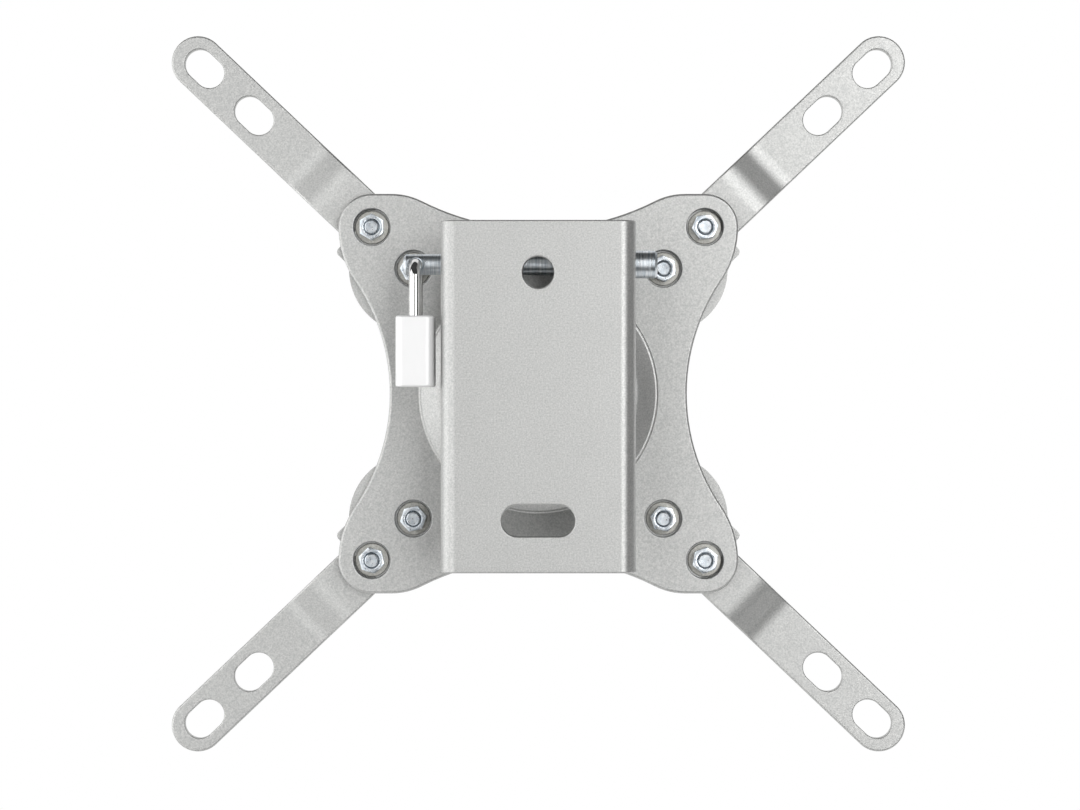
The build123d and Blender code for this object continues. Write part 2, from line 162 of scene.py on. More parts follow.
@dataclass(frozen=True)
class Finish:
    """A surface finish: base shader values and the patterns that break them up.

    Attributes:
        title: Name of the finish, after the real material.
        dark: sRGB hex of the darker flecks.
        light: sRGB hex of the lighter flecks.
        metallic: Metallic value of the shader.
        roughness: Middle roughness.
        roughness_swing: How far the roughness strays on either side.
        fleck_mm: Size of the colour flecks.
        bump_mm: Width of the surface's waves.
        bump_height_mm: Height of the surface's waves.
        coat: Strength of a clear coat.
        stretch: Factors on the pattern along X, Y and Z.
        cloud_mm: Size of the broad, faint patches.
        cloud_depth: How much darker the dark patches are.
        flake_mm: Size of the single bright or dull flakes, or 0 for none.
        flake_depth: How far a flake strays from the colour round it.
    """

    title: str
    dark: str
    light: str
    metallic: float
    roughness: float
    roughness_swing: float
    fleck_mm: float
    bump_mm: float
    bump_height_mm: float
    coat: float = 0.0
    stretch: tuple[float, float, float] = (1.0, 1.0, 1.0)
    cloud_mm: float = 9.0
    cloud_depth: float = 0.03
    flake_mm: float = 0.0
    flake_depth: float = 0.0

    def shaded(
        self,
        tree: bpy.types.NodeTree,
        place: bpy.types.NodeSocket,
        colour: bpy.types.NodeSocket,
    ) -> bpy.types.NodeSocket:
        """Vary a colour by broad patches and by single flakes.

        Args:
            tree: The material's node tree.
            place: Socket with the point on the surface.
            colour: Socket with the colour so far.

        Returns:
            The socket with the varied colour.
        """
        cloud = add_node(
            tree,
            "ShaderNodeTexNoise",
            inputs={
                "Vector": place,
                "Scale": 1 / (self.cloud_mm * MM),
                "Detail": CLOUD_DETAIL,
                "Roughness": CLOUD_ROUGHNESS,
            },
        )
        level = add_node(
            tree,
            "ShaderNodeMapRange",
            inputs={
                "Value": cloud.outputs["Fac"],
                "From Min": CLOUD_SPAN[0],
                "From Max": CLOUD_SPAN[1],
                "To Min": 1.0 - self.cloud_depth,
                "To Max": 1.0,
            },
        )
        factor = level.outputs[0]
        if self.flake_mm > 0:
            flakes = add_node(
                tree,
                "ShaderNodeTexVoronoi",
                inputs={"Vector": place, "Scale": 1 / (self.flake_mm * MM)},
            )
            stray = add_node(
                tree,
                "ShaderNodeMapRange",
                inputs={
                    "Value": flakes.outputs["Color"],
                    "To Min": 1.0 - self.flake_depth,
                    "To Max": 1.0 + self.flake_depth,
                },
            )
            both = add_node(
                tree,
                "ShaderNodeMath",
                settings={"operation": "MULTIPLY"},
                inputs={0: factor, 1: stray.outputs[0]},
            )
            factor = both.outputs[0]
        varied = add_node(
            tree,
            "ShaderNodeVectorMath",
            settings={"operation": "SCALE"},
            inputs={0: colour, "Scale": factor},
        )
        return varied.outputs[0]

    def material(self) -> bpy.types.Material:
        """Build the node material.

        Returns:
            The material, made once and found by its title afterwards.
        """
        made = bpy.data.materials.get(self.title)
        if made is not None:
            return made
        made = bpy.data.materials.new(self.title)
        made.use_nodes = True
        tree = made.node_tree
        shader = tree.nodes["Principled BSDF"]
        shader.inputs["Metallic"].default_value = self.metallic
        shader.inputs["Coat Weight"].default_value = self.coat
        place = add_node(tree, "ShaderNodeTexCoord")
        stretched = add_node(
            tree,
            "ShaderNodeMapping",
            inputs={"Vector": place.outputs["Object"], "Scale": self.stretch},
        )
        fleck = add_node(
            tree,
            "ShaderNodeTexNoise",
            inputs={
                "Vector": stretched.outputs[0],
                "Scale": 1 / (self.fleck_mm * MM),
                "Detail": FLECK_DETAIL,
            },
        )
        wave = add_node(
            tree,
            "ShaderNodeTexNoise",
            inputs={
                "Vector": stretched.outputs[0],
                "Scale": 1 / (self.bump_mm * MM),
                "Detail": WAVE_DETAIL,
            },
        )
        spread = add_node(
            tree,
            "ShaderNodeMapRange",
            inputs={
                "Value": fleck.outputs["Fac"],
                "From Min": WAVE_SPAN[0],
                "From Max": WAVE_SPAN[1],
            },
        )
        colour = add_node(
            tree,
            "ShaderNodeMix",
            settings={"data_type": "RGBA"},
            inputs={
                "Factor": spread.outputs[0],
                MIX_FIRST: linear(self.dark),
                MIX_SECOND: linear(self.light),
            },
        )
        gloss = add_node(
            tree,
            "ShaderNodeMapRange",
            inputs={
                "Value": wave.outputs["Fac"],
                "From Min": WAVE_SPAN[0],
                "From Max": WAVE_SPAN[1],
                "To Min": self.roughness - self.roughness_swing,
                "To Max": self.roughness + self.roughness_swing,
            },
        )
        bump = add_node(
            tree,
            "ShaderNodeBump",
            inputs={
                "Height": wave.outputs["Fac"],
                "Strength": 1.0,
                "Distance": self.bump_height_mm * MM,
            },
        )
        varied = self.shaded(tree, stretched.outputs[0], colour.outputs[MIX_RESULT])
        tree.links.new(varied, shader.inputs["Base Color"])
        tree.links.new(gloss.outputs[0], shader.inputs["Roughness"])
        tree.links.new(bump.outputs[0], shader.inputs["Normal"])
        return made


# Steel with silver powder coat, sprayed and baked: satin and finely grained, with a faint orange
# peel. Its grains are under 0.1 mm and wouldn't show, so flecks and flakes are drawn 0.5 mm wide.
POWDER_COAT = Finish(
    title="silver_powder_coat",
    dark="abacab",
    light="c9c9c7",
    metallic=0.85,
    roughness=0.43,
    roughness_swing=0.03,
    fleck_mm=0.45,
    bump_mm=0.8,
    bump_height_mm=0.005,
    cloud_mm=12.0,
    cloud_depth=0.025,
    flake_mm=0.5,
    flake_depth=0.035,
)
# Steel, zinc plated and blue passivated: bright with a cold tint and faint smears.
ZINC_PLATE = Finish(
    title="blue_zinc_plate",
    dark="c3ccd4",
    light="e9edf0",
    metallic=1.0,
    roughness=0.3,
    roughness_swing=0.05,
    fleck_mm=1.2,
    bump_mm=1.1,
    bump_height_mm=0.0012,
    cloud_mm=2.0,
    cloud_depth=0.12,
)
# Steel, pressed and zinc plated: the rougher face of a nut's flange, coloured greyer as painted
# shade of the recess round it.
ROUGH_ZINC_WITH_PAINTED_SHADE = Finish(
    title="rough_zinc_with_painted_shade",
    dark="a3a29c",
    light="cbcac5",
    metallic=1.0,
    roughness=0.48,
    roughness_swing=0.08,
    fleck_mm=0.5,
    bump_mm=0.5,
    bump_height_mm=0.005,
    cloud_mm=1.8,
    cloud_depth=0.2,
)
# Steel bar, turned and zinc plated: the same coat over the rings that the lathe left. They are
# about 0.1 mm apart and wouldn't show, so the pattern is drawn 0.26 mm wide along the bar.
TURNED_ZINC = Finish(
    title="turned_zinc_plate",
    dark="b4bec6",
    light="eceff1",
    metallic=1.0,
    roughness=0.34,
    roughness_swing=0.08,
    fleck_mm=1.4,
    bump_mm=0.9,
    bump_height_mm=0.012,
    stretch=(3.5, 0.25, 0.25),
    cloud_mm=6.0,
    cloud_depth=0.1,
)
# Steel wire, polished and chromed: a mirror with hardly a wave.
CHROME_WIRE = Finish(
    title="polished_chrome",
    dark="d2d2d1",
    light="e6e6e5",
    metallic=1.0,
    roughness=0.07,
    roughness_swing=0.02,
    fleck_mm=2.0,
    bump_mm=2.0,
    bump_height_mm=0.002,
)
# Die-cast zinc with white enamel: smooth and slightly glossy.
WHITE_ENAMEL = Finish(
    title="white_enamel",
    dark="eeeef0",
    light="f4f4f6",
    metallic=0.0,
    roughness=0.3,
    roughness_swing=0.04,
    fleck_mm=1.5,
    bump_mm=1.2,
    bump_height_mm=0.004,
    coat=0.15,
    cloud_depth=0.01,
)
# Brass, turned: warm, with the short waves that a cutter leaves.
TURNED_BRASS = Finish(
    title="turned_brass",
    dark="a98a4d",
    light="d0b06c",
    metallic=1.0,
    roughness=0.3,
    roughness_swing=0.06,
    fleck_mm=0.6,
    bump_mm=0.3,
    bump_height_mm=0.003,
)
# Nylon, moulded: waxy off-white.
MOULDED_NYLON = Finish(
    title="moulded_nylon",
    dark="d8d5c8",
    light="e6e4da",
    metallic=0.0,
    roughness=0.5,
    roughness_swing=0.05,
    fleck_mm=1.5,
    bump_mm=0.8,
    bump_height_mm=0.004,
)

FINISHES = {
    Slot.POWDER: POWDER_COAT,
    Slot.ZINC: ZINC_PLATE,
    Slot.CHROME: CHROME_WIRE,
    Slot.ENAMEL: WHITE_ENAMEL,
    Slot.BRASS: TURNED_BRASS,
    Slot.NYLON: MOULDED_NYLON,
}


def deselect_all() -> None:
    """Deselect every object."""
    for other in bpy.context.selected_objects:
        other.select_set(False)


def only(piece: bpy.types.Object) -> None:
    """Select one piece alone and make it active."""
    deselect_all()
    piece.select_set(True)
    bpy.context.view_layer.objects.active = piece


def settle(piece: bpy.types.Object) -> None:
    """Move a piece's place, turn and scale into its mesh."""
    only(piece)
    bpy.ops.object.transform_apply(location=True, rotation=True, scale=True)


def smooth(piece: bpy.types.Object, angle: float = 35.0) -> None:
    """Shade a piece smooth, with its large faces kept flat.

    Args:
        piece: The piece, whose normals are written into its mesh.
        angle: Angle in degrees up to which two faces are shaded as one.
    """
    only(piece)
    bpy.ops.object.shade_smooth_by_angle(angle=math.radians(angle))
    weighted = piece.modifiers.new("flat_faces", "WEIGHTED_NORMAL")
    weighted.keep_sharp = True
    weighted.weight = FLAT_FACES
    bpy.ops.object.modifier_apply(modifier=weighted.name)


def dress(piece: bpy.types.Object, slot: Slot, finish: Finish | None = None) -> None:
    """Give a piece one finish, its slot's unless it has its own.

    Args:
        piece: The piece, which loses the materials that it has.
        slot: Material slot of the record.
        finish: Finish of its own, where it differs from its slot's.
    """
    piece.data.materials.clear()
    piece.data.materials.append((finish or FINISHES[slot]).material())


def combine(piece: bpy.types.Object, tool: bpy.types.Object, work: Work) -> None:
    """Let a tool work on a piece, and remove the tool.

    Args:
        piece: The piece that stays.
        tool: The closed mesh that works on it.
        work: Whether the tool's shape is taken away from the piece or kept of it.
    """
    only(piece)
    cut = piece.modifiers.new("cut", "BOOLEAN")
    cut.operation = work.value
    cut.object = tool
    cut.solver = "EXACT"
    bpy.ops.object.modifier_apply(modifier=cut.name)
    bpy.data.objects.remove(tool)


def turned_piece(name: str, profile: Sequence[Point], steps: int) -> bpy.types.Object:
    """Spin a profile about the Y axis, as on a lathe.

    Args:
        name: Name of the new object.
        profile: Radius and depth of each point, in metres. It starts and ends on the axis, or
            ends where it starts.
        steps: Number of facets round the axis.

    Returns:
        A closed mesh object.
    """
    deselect_all()
    bpy.ops.mesh.primitive_plane_add(size=MM)
    piece = bpy.context.object
    piece.name = name
    bpy.ops.object.mode_set(mode="EDIT")
    bpy.ops.mesh.select_mode(type="VERT")
    bpy.ops.mesh.select_all(action="SELECT")
    bpy.ops.mesh.merge(type="CENTER")
    here = Vector((*profile[0], 0))
    bpy.ops.transform.translate(value=here)
    for point in profile[1:]:
        there = Vector((*point, 0))
        bpy.ops.mesh.extrude_region_move(TRANSFORM_OT_translate={"value": there - here})
        here = there
    bpy.ops.mesh.select_all(action="SELECT")
    bpy.ops.mesh.spin(steps=steps, angle=math.tau, center=(0, 0, 0), axis=(0, 1, 0))
    bpy.ops.mesh.select_all(action="SELECT")
    bpy.ops.mesh.remove_doubles(threshold=TURNED_MERGE)
    bpy.ops.mesh.normals_make_consistent(inside=False)
    bpy.ops.object.mode_set(mode="OBJECT")
    return piece


def hex_prism(name: str, corner: float, near: float, far: float) -> bpy.types.Object:
    """Add a hexagonal prism along Y.

    Args:
        name: Name of the new object.
        corner: Distance of its corners from the axis.
        near: Depth of its end on the wall's side.
        far: Depth of its other end.

    Returns:
        A closed mesh object.
    """
    deselect_all()
    bpy.ops.mesh.primitive_cylinder_add(
        vertices=6,
        radius=corner,
        depth=far - near,
        location=(0, (near + far) / 2, 0),
        rotation=(math.pi / 2, 0, 0),
    )
    piece = bpy.context.object
    piece.name = name
    settle(piece)
    return piece


def bevel_rims(
    piece: bpy.types.Object, width: float, sharper_than: float = 28.0, segments: int = 2
) -> None:
    """Round a piece's sharp edges, so that they catch the light.

    Args:
        piece: The piece, which has no unapplied modifier.
        width: Width of the rounding.
        sharper_than: Angle in degrees from which an edge is rounded.
        segments: Number of facets in the rounding.
    """
    only(piece)
    rounding = piece.modifiers.new("rims", "BEVEL")
    rounding.limit_method = "ANGLE"
    rounding.angle_limit = math.radians(sharper_than)
    rounding.width = width
    rounding.segments = segments
    rounding.use_clamp_overlap = True
    bpy.ops.object.modifier_apply(modifier=rounding.name)


def copies(piece: bpy.types.Object, spots: Iterable[Spot], name: str) -> bpy.types.Object:
    """Copy a piece to several spots and join the copies.

    Args:
        piece: The model, centred on the Y axis. It is removed at the end.
        spots: X, Z and turn about Y, in metres and radians, of each copy.
        name: Name of the joined object.

    Returns:
        One object with all the copies.
    """
    made = []
    for x, z, turn in spots:
        twin = piece.copy()
        twin.data = piece.data.copy()
        bpy.context.collection.objects.link(twin)
        twin.location = (x, 0, z)
        twin.rotation_euler = (0, turn, 0)
        settle(twin)
        made.append(twin)
    bpy.data.objects.remove(piece)
    deselect_all()
    for twin in made:
        twin.select_set(True)
    bpy.context.view_layer.objects.active = made[0]
    bpy.ops.object.join()
    joined = bpy.context.object
    joined.name = name
    return joined


@dataclass(frozen=True)
class PackedPart:
    """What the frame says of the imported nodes.

    Attributes:
        nodes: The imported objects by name.
        bodies: Name of the body that each node belongs to.
        slots: Slot of each node.
    """

    nodes: dict[str, bpy.types.Object]
    bodies: dict[str, str]
    slots: dict[str, Slot]

    @classmethod
    def read(cls, frame: dict) -> "PackedPart":
        """Sort the loaded frame's objects, bodies and slots by node.


        Returns:
            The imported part.
        """
        record = frame["record"]
        bodies = {
            node: body
            for body, members in record["behaviour"]["bodies"].items()
            for node in members
        }
        slots = {row["node"]: Slot(row["material_slot"]) for row in record["subparts"]}
        return cls(frame["nodes"], bodies, slots)


@dataclass
class SubAssembly:
    """Pieces that belong together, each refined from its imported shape.

    Attributes:
        packed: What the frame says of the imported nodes.
        members: Names of the nodes that belong to it.
        own_finish: Finish of each node that differs from its slot's.
        merge_mm: Distance under which loose corners are merged.
    """

    packed: PackedPart
    members: tuple[str, ...] = ()
    own_finish: dict[str, Finish] = field(default_factory=dict)
    merge_mm: float = 0.001

    def refined(self, node: str) -> bpy.types.Object:
        """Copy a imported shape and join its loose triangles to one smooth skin.

        Args:
            node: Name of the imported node.

        Returns:
            The copy, with no parent and none of the node's own properties.
        """
        source = self.packed.nodes[node]
        piece = source.copy()
        piece.data = source.data.copy()
        piece.name = f"{node}_finished"
        piece.data.name = piece.name
        for key in list(piece.keys()):
            del piece[key]
        piece.parent = None
        bpy.context.collection.objects.link(piece)
        only(piece)
        if piece.data.has_custom_normals:
            bpy.ops.mesh.customdata_custom_splitnormals_clear()
        bpy.ops.object.mode_set(mode="EDIT")
        bpy.ops.mesh.select_all(action="SELECT")
        bpy.ops.mesh.remove_doubles(threshold=self.merge_mm * MM)
        bpy.ops.mesh.tris_convert_to_quads()
        bpy.ops.object.mode_set(mode="OBJECT")
        smooth(piece)
        return piece

    def build(self) -> None:
        """Refine and dress every member."""
        for node in self.members:
            body = self.packed.bodies[node]
            piece = self.refined(node)
            dress(piece, self.packed.slots[node], self.own_finish.get(node))
            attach(piece, body)
            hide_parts(node)
            log.info("%s on %s, %d faces", piece.name, body, len(piece.data.polygons))


@dataclass
class WallMounting(SubAssembly):
    """The folded channel on the wall, the hanger nested in it and the ball stud it carries."""

    members: tuple[str, ...] = (
        "wall_plate",
        "hanger_bracket",
        "cross_rod",
        "ball_stud",
        "stud_washer",
        "stud_nut",
    )
    own_finish: dict[str, Finish] = field(default_factory=lambda: {"cross_rod": TURNED_ZINC})


@dataclass
class BallSocket(SubAssembly):
    """The nylon seats round the ball, and the dish and the cap that clamp them."""

    members: tuple[str, ...] = ("front_seat", "rear_seat", "socket_dish", "rear_cup")


@dataclass
class CrossHead(SubAssembly):
    """The waisted cross plate, the tabbed plate behind it and the four stepped arms."""

    members: tuple[str, ...] = (
        "spider_plate",
        "rear_plate",
        "arm_upper_left",
        "arm_upper_right",
        "arm_lower_left",
        "arm_lower_right",
    )


@dataclass
class PinLock(SubAssembly):
    """The headed pin and the padlock that hangs from its eye."""

    members: tuple[str, ...] = (
        "lock_pin",
        "padlock_shackle",
        "padlock_body",
        "padlock_keeper",
        "padlock_plug",
    )
    own_finish: dict[str, Finish] = field(default_factory=lambda: {"lock_pin": TURNED_ZINC})


@dataclass(frozen=True)
class Row:
    """One node's screws or nuts: their squares on the head and the depths they lie between.

    Attributes:
        node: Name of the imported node.
        halves: Half the side of each square that has one at every corner.
        near: Depth of the ends on the wall's side.
        far: Depth of the ends on the television's side.
        centre_z: Height of the head's middle.
    """

    node: str
    halves: tuple[float, ...]
    near: float
    far: float
    centre_z: float

    @classmethod
    def measured(cls, node: str, *halves: float) -> "Row":
        """Take the depths from the node's packed box and the middle from the cross plate's.

        Args:
            node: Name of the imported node.
            halves: Half the side of each square.

        Returns:
            The row.
        """
        low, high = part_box(node)
        plate_low, plate_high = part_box("spider_plate")
        return cls(node, halves, low.y, high.y, (plate_low.z + plate_high.z) / 2)


@dataclass
class SmallScrews:
    """The M4 screws and nuts of the head, modelled once each and copied to their corners.

    Attributes:
        thread_radius: Outer radius of the thread.
        pitch: Distance between two crests of the thread.
        thread_ring: Points of one ring of the thread, in pitches: how far below the crest, and
            how far along.
        screw_end: Points of a screw's rounded end: share of the thread's radius, and how far in
            from the end.
        point_length: Distance from the end to the first ring.
        ring_gap: Distance from the last ring to the head, in pitches.
        plain_shank: Length of the plain shank under the head, in pitches.
        head_radius: Radius of a screw's pan head.
        head_height: Height of the pan head.
        head_rim: Width and height of the bevel round the head's seat.
        crown_steps: Number of facets up the head's rounded top.
        crown_start: Angle at which the rounded top starts, in degrees.
        crown_sweep: Angle that it covers, in degrees.
        crown_powers: Powers on the radius and the height that make it a pan, not a ball.
        blade: Length, depth and thickness of a blade of the cross recess, half of it in the head.
        flats: Width of a hexagon across its flats.
        flat_share: Radius of a nut's flat end, as a share of that width.
        corner_drop: Drop of a hexagon's corners, as a share of how far they stand out.
        nut_rim: Width of the rounding on a nut's edges.
        bore_gap: Gap between the thread and a bore.
        mouth: Width and depth of a bore's countersunk mouth.
        flange_radius: Radius of a nut's flange.
        flange_thick: Thickness of the flange.
        flange_rim: Points of the flange's rounded rim: how far in from it, and how far down.
        overlap: How deep a hexagon stands in its flange.
        outer_square: Side of the larger square of arm screws.
        inner_square: Side of the smaller square.
        clamp_circle: Diameter of the circle of clamp screws.
        corners: Side of the middle, in X and Z, on which each corner of a square lies.
        turn_step: Turn of each screw against the one before, since none was driven alike.
        round_steps: Facets round a nut or a flange.
        thread_steps: Facets round a screw or a bore.
        smooth_angle: Angle in degrees up to which facets are shaded as one.
    """

    thread_radius: float = 2.0 * MM
    pitch: float = 0.7 * MM
    thread_ring: tuple[Point, ...] = ((0.6, 0.06), (0.0, 0.44), (0.0, 0.56), (0.6, 0.94))
    screw_end: tuple[Point, ...] = (
        (0.0, 0.03 * MM),
        (0.4, 0.01 * MM),
        (0.88, 0.0),
        (0.95, 0.08 * MM),
    )
    point_length: float = 0.4 * MM
    ring_gap: float = 2.0
    plain_shank: float = 1.5
    head_radius: float = 4.0 * MM
    head_height: float = 2.4 * MM
    head_rim: Point = (0.1 * MM, 0.15 * MM)
    crown_steps: int = 9
    crown_start: float = 8.0
    crown_sweep: float = 76.0
    crown_powers: Point = (0.45, 0.75)
    blade: tuple[float, float, float] = (3.6 * MM, 3.0 * MM, 0.8 * MM)
    flats: float = 7.0 * MM
    flat_share: float = 0.49
    corner_drop: float = 0.28
    nut_rim: float = 0.06 * MM
    bore_gap: float = 0.06 * MM
    mouth: Point = (0.45 * MM, 0.6 * MM)
    flange_radius: float = 5.0 * MM
    flange_thick: float = 0.9 * MM
    flange_rim: tuple[Point, ...] = (
        (0.3 * MM, 0.08 * MM),
        (0.08 * MM, 0.16 * MM),
        (0.0, 0.3 * MM),
    )
    overlap: float = 0.02 * MM
    outer_square: float = 100.0 * MM
    inner_square: float = 75.0 * MM
    clamp_circle: float = 48.0 * MM
    corners: tuple[tuple[int, int], ...] = ((-1, 1), (1, 1), (-1, -1), (1, -1))
    turn_step: float = math.radians(23.0)
    round_steps: int = 64
    thread_steps: int = 48
    smooth_angle: float = 30.0

    @property
    def bore_radius(self) -> float:
        """Radius of the bore through a nut and its flange."""
        return self.thread_radius + self.bore_gap

    def spots(self, row: Row) -> list[Spot]:
        """Places of a row's screws, one at each corner of each square.

        Args:
            row: The row of screws or nuts.

        Returns:
            X, Z and turn of each.
        """
        places = [(x * half, z * half) for half in row.halves for x, z in self.corners]
        return [
            (x, z + row.centre_z, self.turn_step * count) for count, (x, z) in enumerate(places)
        ]

    def flange(self, seat: float) -> bpy.types.Object:
        """Model the round, nearly flat flange under one nut.

        Args:
            seat: Depth of the face that the flange bears on.

        Returns:
            A ring on the Y axis.
        """
        face = seat - self.flange_thick
        start = (self.bore_radius, face)
        rim = [(self.flange_radius - inward, face + down) for inward, down in self.flange_rim]
        profile = [start, *rim, (self.flange_radius, seat), (self.bore_radius, seat), start]
        ring = turned_piece("flange", profile, self.round_steps)
        smooth(ring, self.smooth_angle)
        return ring

    def nut(self, top: float, seat: float) -> bpy.types.Object:
        """Model one nut: a hexagon met by a turned blank, bored and countersunk.

        Args:
            top: Depth of its end on the wall's side.
            seat: Depth of the face that the nut bears on.

        Returns:
            The nut on the Y axis.
        """
        corner = self.flats / math.sqrt(3)
        flat = self.flats * self.flat_share
        drop = self.corner_drop * (corner - self.flats / 2)
        nut = hex_prism("nut", corner, top, seat)
        blank = turned_piece(
            "blank",
            [
                (0, top),
                (flat, top),
                (corner, top + drop),
                (corner, seat - drop),
                (flat, seat),
                (0, seat),
            ],
            self.round_steps,
        )
        combine(nut, blank, Work.MEET)
        mouth_width, mouth_depth = self.mouth
        mouth_radius = self.bore_radius + mouth_width
        bore = turned_piece(
            "bore",
            [
                (0, top - MM),
                (mouth_radius, top - MM),
                (mouth_radius, top),
                (self.bore_radius, top + mouth_depth),
                (self.bore_radius, seat + MM),
                (0, seat + MM),
            ],
            self.thread_steps,
        )
        combine(nut, bore, Work.CUT)
        bevel_rims(nut, self.nut_rim)
        smooth(nut, self.smooth_angle)
        return nut

    def thread(self, near: float, far: float) -> list[Point]:
        """Rings of the thread.

        Args:
            near: Depth where it begins.
            far: Depth that it doesn't pass.

        Returns:
            Profile points from near to far.
        """
        points = []
        for turn in range(int((far - near) / self.pitch)):
            start = near + turn * self.pitch
            points += [
                (self.thread_radius - below * self.pitch, start + along * self.pitch)
                for below, along in self.thread_ring
            ]
        return points

    def crown(self, seat: float) -> list[Point]:
        """Rounded side and top of a pan head.

        Args:
            seat: Depth of the face that the head bears on.

        Returns:
            Profile points from its rim inwards.
        """
        radius_power, height_power = self.crown_powers
        points = []
        for step in range(self.crown_steps + 1):
            lift = math.radians(self.crown_start + self.crown_sweep * step / self.crown_steps)
            radius = self.head_radius * math.cos(lift) ** radius_power
            points.append((radius, seat + self.head_height * math.sin(lift) ** height_power))
        return points

    def screw(self, end: float, crown_top: float) -> bpy.types.Object:
        """Model one pan-head screw: turned with its thread rings, then cross-cut.

        Args:
            end: Depth of its end, on the wall's side.
            crown_top: Depth of the top of its head.

        Returns:
            The screw on the Y axis.
        """
        seat = crown_top - self.head_height
        rim_width, rim_height = self.head_rim
        last_ring = seat - self.ring_gap * self.pitch
        profile = [(self.thread_radius * share, end + inward) for share, inward in self.screw_end]
        profile += self.thread(end + self.point_length, last_ring)
        profile += [
            (self.thread_radius, seat - self.plain_shank * self.pitch),
            (self.thread_radius, seat),
            (self.head_radius - rim_width, seat),
            (self.head_radius, seat + rim_height),
        ]
        profile += self.crown(seat)
        profile.append((0, crown_top))
        screw = turned_piece("screw", profile, self.thread_steps)
        for turn in (0.0, math.pi / 2):
            deselect_all()
            place = (0, crown_top, 0)
            bpy.ops.mesh.primitive_cube_add(size=1, location=place, rotation=(0, turn, 0))
            blade = bpy.context.object
            blade.scale = self.blade
            settle(blade)
            combine(screw, blade, Work.CUT)
        smooth(screw, self.smooth_angle)
        return screw

    def build(self) -> None:
        """Model, copy and dress the screws and nuts."""
        squares = (self.outer_square / 2, self.inner_square / 2)
        clamps = (self.clamp_circle / 2 / math.sqrt(2),)
        arm_nuts = Row.measured("arm_nuts", *squares)
        arm_screws = Row.measured("arm_screws", *squares)
        clamp_nuts = Row.measured("clamp_nuts", *clamps)
        clamp_screws = Row.measured("clamp_screws", *clamps)
        hexagon = self.nut(arm_nuts.near, arm_nuts.far - self.flange_thick + self.overlap)
        flange = self.flange(arm_nuts.far)
        arm_screw = self.screw(arm_screws.near, arm_screws.far)
        clamp_nut = self.nut(clamp_nuts.near, clamp_nuts.far)
        clamp_screw = self.screw(clamp_screws.near, clamp_screws.far)
        plan = (
            (arm_nuts, hexagon, "hexagons", ZINC_PLATE),
            # The flanges' zinc is darkened as painted shade of the recesses they sit in.
            (arm_nuts, flange, "flanges", ROUGH_ZINC_WITH_PAINTED_SHADE),
            (arm_screws, arm_screw, "finished", ZINC_PLATE),
            (clamp_nuts, clamp_nut, "finished", ZINC_PLATE),
            (clamp_screws, clamp_screw, "finished", ZINC_PLATE),
        )
        for row, model, part, finish in plan:
            group = copies(model, self.spots(row), f"{row.node}_{part}")
            dress(group, Slot.ZINC, finish)
            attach(group, "head")
            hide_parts(row.node)
            log.info("%s, %d faces", group.name, len(group.data.polygons))


@dataclass(frozen=True)
class Lamp:
    """A rectangular lamp that faces the mount.

    Attributes:
        name: Name of the lamp.
        place: Where it hangs, in metres.
        size: Width and height, in metres.
        power: Watts.
        aim: Point that it faces.
    """

    name: str
    place: tuple[float, float, float]
    size: tuple[float, float]
    power: float
    aim: tuple[float, float, float] = (0, 0.03, 0)

    def hang(self) -> None:
        """Add the lamp to the scene."""
        light = bpy.data.lights.new(self.name, "AREA")
        light.shape = "RECTANGLE"
        light.size, light.size_y = self.size
        light.energy = self.power
        holder = bpy.data.objects.new(self.name, light)
        holder.location = self.place
        gaze = Vector(self.aim) - Vector(self.place)
        holder.rotation_euler = gaze.to_track_quat("-Z", "Y").to_euler()
        bpy.context.collection.objects.link(holder)


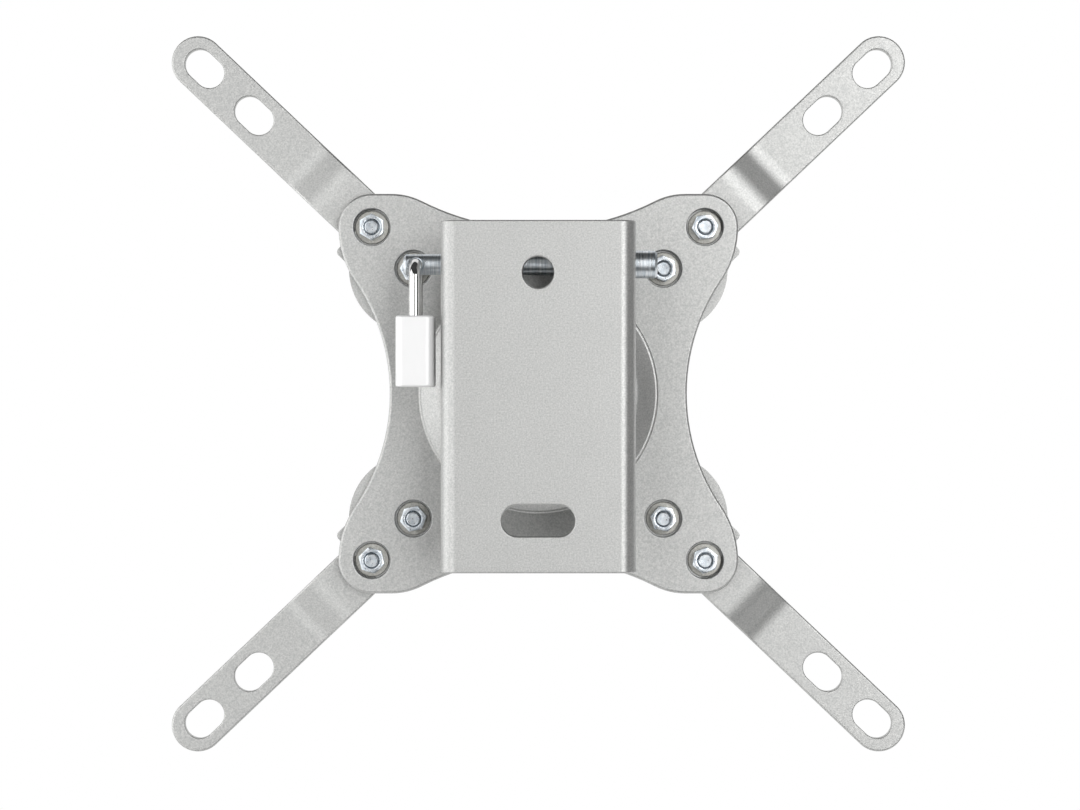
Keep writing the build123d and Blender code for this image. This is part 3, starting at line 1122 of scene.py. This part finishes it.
@dataclass
class Studio:
    """Plain pale surroundings, five softboxes and the camera at the photograph's angle.

    Each softbox stands where one kind of face mirrors it: the two fills for the flat faces, the
    left one and its strip for the left bends, the right strip for the edges on the right.

    Attributes:
        camera_at: Place of the camera.
        lens_mm: Focal length.
        sensor_mm: Width of the sensor.
        floor_z: Height of the floor.
        floor_front_y: Depth of the floor's front edge.
        backdrop_y: Depth of the wall behind the mount.
        width: Width of the floor and the wall.
        height: Height of the wall.
        cove: Size of the bend between floor and wall.
        cove_segments: Number of facets in the bend.
        paper_colour: sRGB hex of the backdrop paper.
        paper_roughness: Its roughness.
        dim_room: Strength of the room's light on the mount.
        mirrored_room: Strength of the room where a piece mirrors it.
        seen_room: Strength of the room where the camera sees it.
        lamps: The softboxes.
    """

    camera_at: tuple[float, float, float] = (0.5 * MM, -839.5 * MM, -2.4 * MM)
    lens_mm: float = 98.0
    sensor_mm: float = 36.0
    floor_z: float = -0.45
    floor_front_y: float = -0.3
    backdrop_y: float = 1.4
    width: float = 5.0
    height: float = 3.5
    cove: float = 0.15
    cove_segments: int = 12
    paper_colour: str = "f4f4f4"
    paper_roughness: float = 0.9
    dim_room: float = 0.04
    mirrored_room: float = 0.06
    seen_room: float = 1.0
    lamps: tuple[Lamp, ...] = (
        Lamp("softbox_left", (-1.13, -0.31, 0.08), (0.85, 1.7), 8.8),
        Lamp("strip_left", (-1.17, 0.3, 0.0), (0.3, 1.2), 2.0),
        Lamp("strip_right", (1.2, -0.06, 0.4), (0.3, 1.3), 0.7),
        Lamp("fill_left", (-0.99, -1.75, 0.06), (1.35, 2.8), 21.8),
        Lamp("fill_right", (0.78, -1.83, 0.34), (1.1, 1.9), 23.5),
    )

    def camera(self) -> None:
        """Stand the camera level, looking along +Y."""
        lens = bpy.data.cameras.new("camera")
        lens.lens = self.lens_mm
        lens.sensor_width = self.sensor_mm
        eye = bpy.data.objects.new("camera", lens)
        eye.location = self.camera_at
        eye.rotation_euler = (math.pi / 2, 0, 0)
        bpy.context.collection.objects.link(eye)
        bpy.context.scene.camera = eye

    def paper(self) -> bpy.types.Material:
        """White backdrop paper, which the camera and mirrors see as plain white.

        Returns:
            The material.
        """
        made = bpy.data.materials.new("white_backdrop_paper")
        made.use_nodes = True
        tree = made.node_tree
        shader = tree.nodes["Principled BSDF"]
        shader.inputs["Base Color"].default_value = linear(self.paper_colour)
        shader.inputs["Roughness"].default_value = self.paper_roughness
        path = add_node(tree, "ShaderNodeLightPath")
        seen = add_node(
            tree,
            "ShaderNodeMath",
            settings={"operation": "MAXIMUM"},
            inputs={0: path.outputs["Is Camera Ray"], 1: path.outputs["Is Glossy Ray"]},
        )
        seen_through = add_node(
            tree,
            "ShaderNodeMath",
            settings={"operation": "MAXIMUM"},
            inputs={0: seen.outputs[0], 1: path.outputs["Is Transmission Ray"]},
        )
        glow = add_node(tree, "ShaderNodeEmission", inputs={"Color": WHITE, "Strength": 1.0})
        mix = add_node(
            tree,
            "ShaderNodeMixShader",
            inputs={0: seen_through.outputs[0], 1: shader.outputs[0], 2: glow.outputs[0]},
        )
        tree.links.new(mix.outputs[0], tree.nodes["Material Output"].inputs["Surface"])
        return made

    def backdrop(self) -> None:
        """Floor and wall in one curved sweep behind the mount."""
        deselect_all()
        depth = self.backdrop_y - self.floor_front_y
        middle_y = (self.backdrop_y + self.floor_front_y) / 2
        bpy.ops.mesh.primitive_plane_add(size=1, location=(0, middle_y, self.floor_z))
        sweep = bpy.context.object
        sweep.name = "backdrop"
        sweep.scale = (self.width, depth, 1)
        settle(sweep)
        bpy.ops.object.mode_set(mode="EDIT")
        bpy.ops.mesh.select_all(action="DESELECT")
        bpy.ops.object.mode_set(mode="OBJECT")
        for edge in sweep.data.edges:
            ends = [sweep.data.vertices[index].co for index in edge.vertices]
            edge.select = all(abs(end.y - self.backdrop_y) < MM for end in ends)
        bpy.ops.object.mode_set(mode="EDIT")
        bpy.ops.mesh.select_mode(type="EDGE")
        bpy.ops.mesh.extrude_region_move(TRANSFORM_OT_translate={"value": (0, 0, self.height)})
        bpy.ops.object.mode_set(mode="OBJECT")
        only(sweep)
        bend = sweep.modifiers.new("cove", "BEVEL")
        bend.width = self.cove
        bend.segments = self.cove_segments
        bpy.ops.object.modifier_apply(modifier=bend.name)
        smooth(sweep)
        sweep.data.materials.append(self.paper())

    def world(self) -> None:
        """A dim grey room that fills the shadows, paler where it is looked at or mirrored."""
        room = bpy.data.worlds.new("grey_room")
        bpy.context.scene.world = room
        room.use_nodes = True
        tree = room.node_tree
        path = add_node(tree, "ShaderNodeLightPath")
        mirrored = add_node(
            tree,
            "ShaderNodeMath",
            settings={"operation": "MULTIPLY_ADD"},
            inputs={
                0: path.outputs["Is Glossy Ray"],
                1: self.mirrored_room - self.dim_room,
                2: self.dim_room,
            },
        )
        seen = add_node(
            tree,
            "ShaderNodeMath",
            settings={"operation": "MULTIPLY_ADD"},
            inputs={
                0: path.outputs["Is Camera Ray"],
                1: self.seen_room - self.dim_room,
                2: mirrored.outputs[0],
            },
        )
        back = tree.nodes["Background"]
        back.inputs["Color"].default_value = WHITE
        tree.links.new(seen.outputs[0], back.inputs["Strength"])

    def build(self) -> None:
        """Set up camera, backdrop, room and lamps."""
        self.camera()
        self.backdrop()
        self.world()
        for lamp in self.lamps:
            lamp.hang()
        bpy.context.scene.view_settings.view_transform = "Standard"


def corners(box: tuple[Vector, Vector]) -> list[list[float]]:
    """A box as plain lists of numbers."""
    return [[float(value) for value in corner] for corner in box]


def main() -> None:
    """Build the studio and dress every piece of the mount."""
    logging.basicConfig(level=logging.INFO, format="%(message)s")
    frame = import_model()
    Studio().build()
    packed = PackedPart.read(frame)
    for sub_assembly in (WallMounting, BallSocket, CrossHead, PinLock):
        sub_assembly(packed).build()
    SmallScrews().build()


if __name__ == "__main__":
    main()
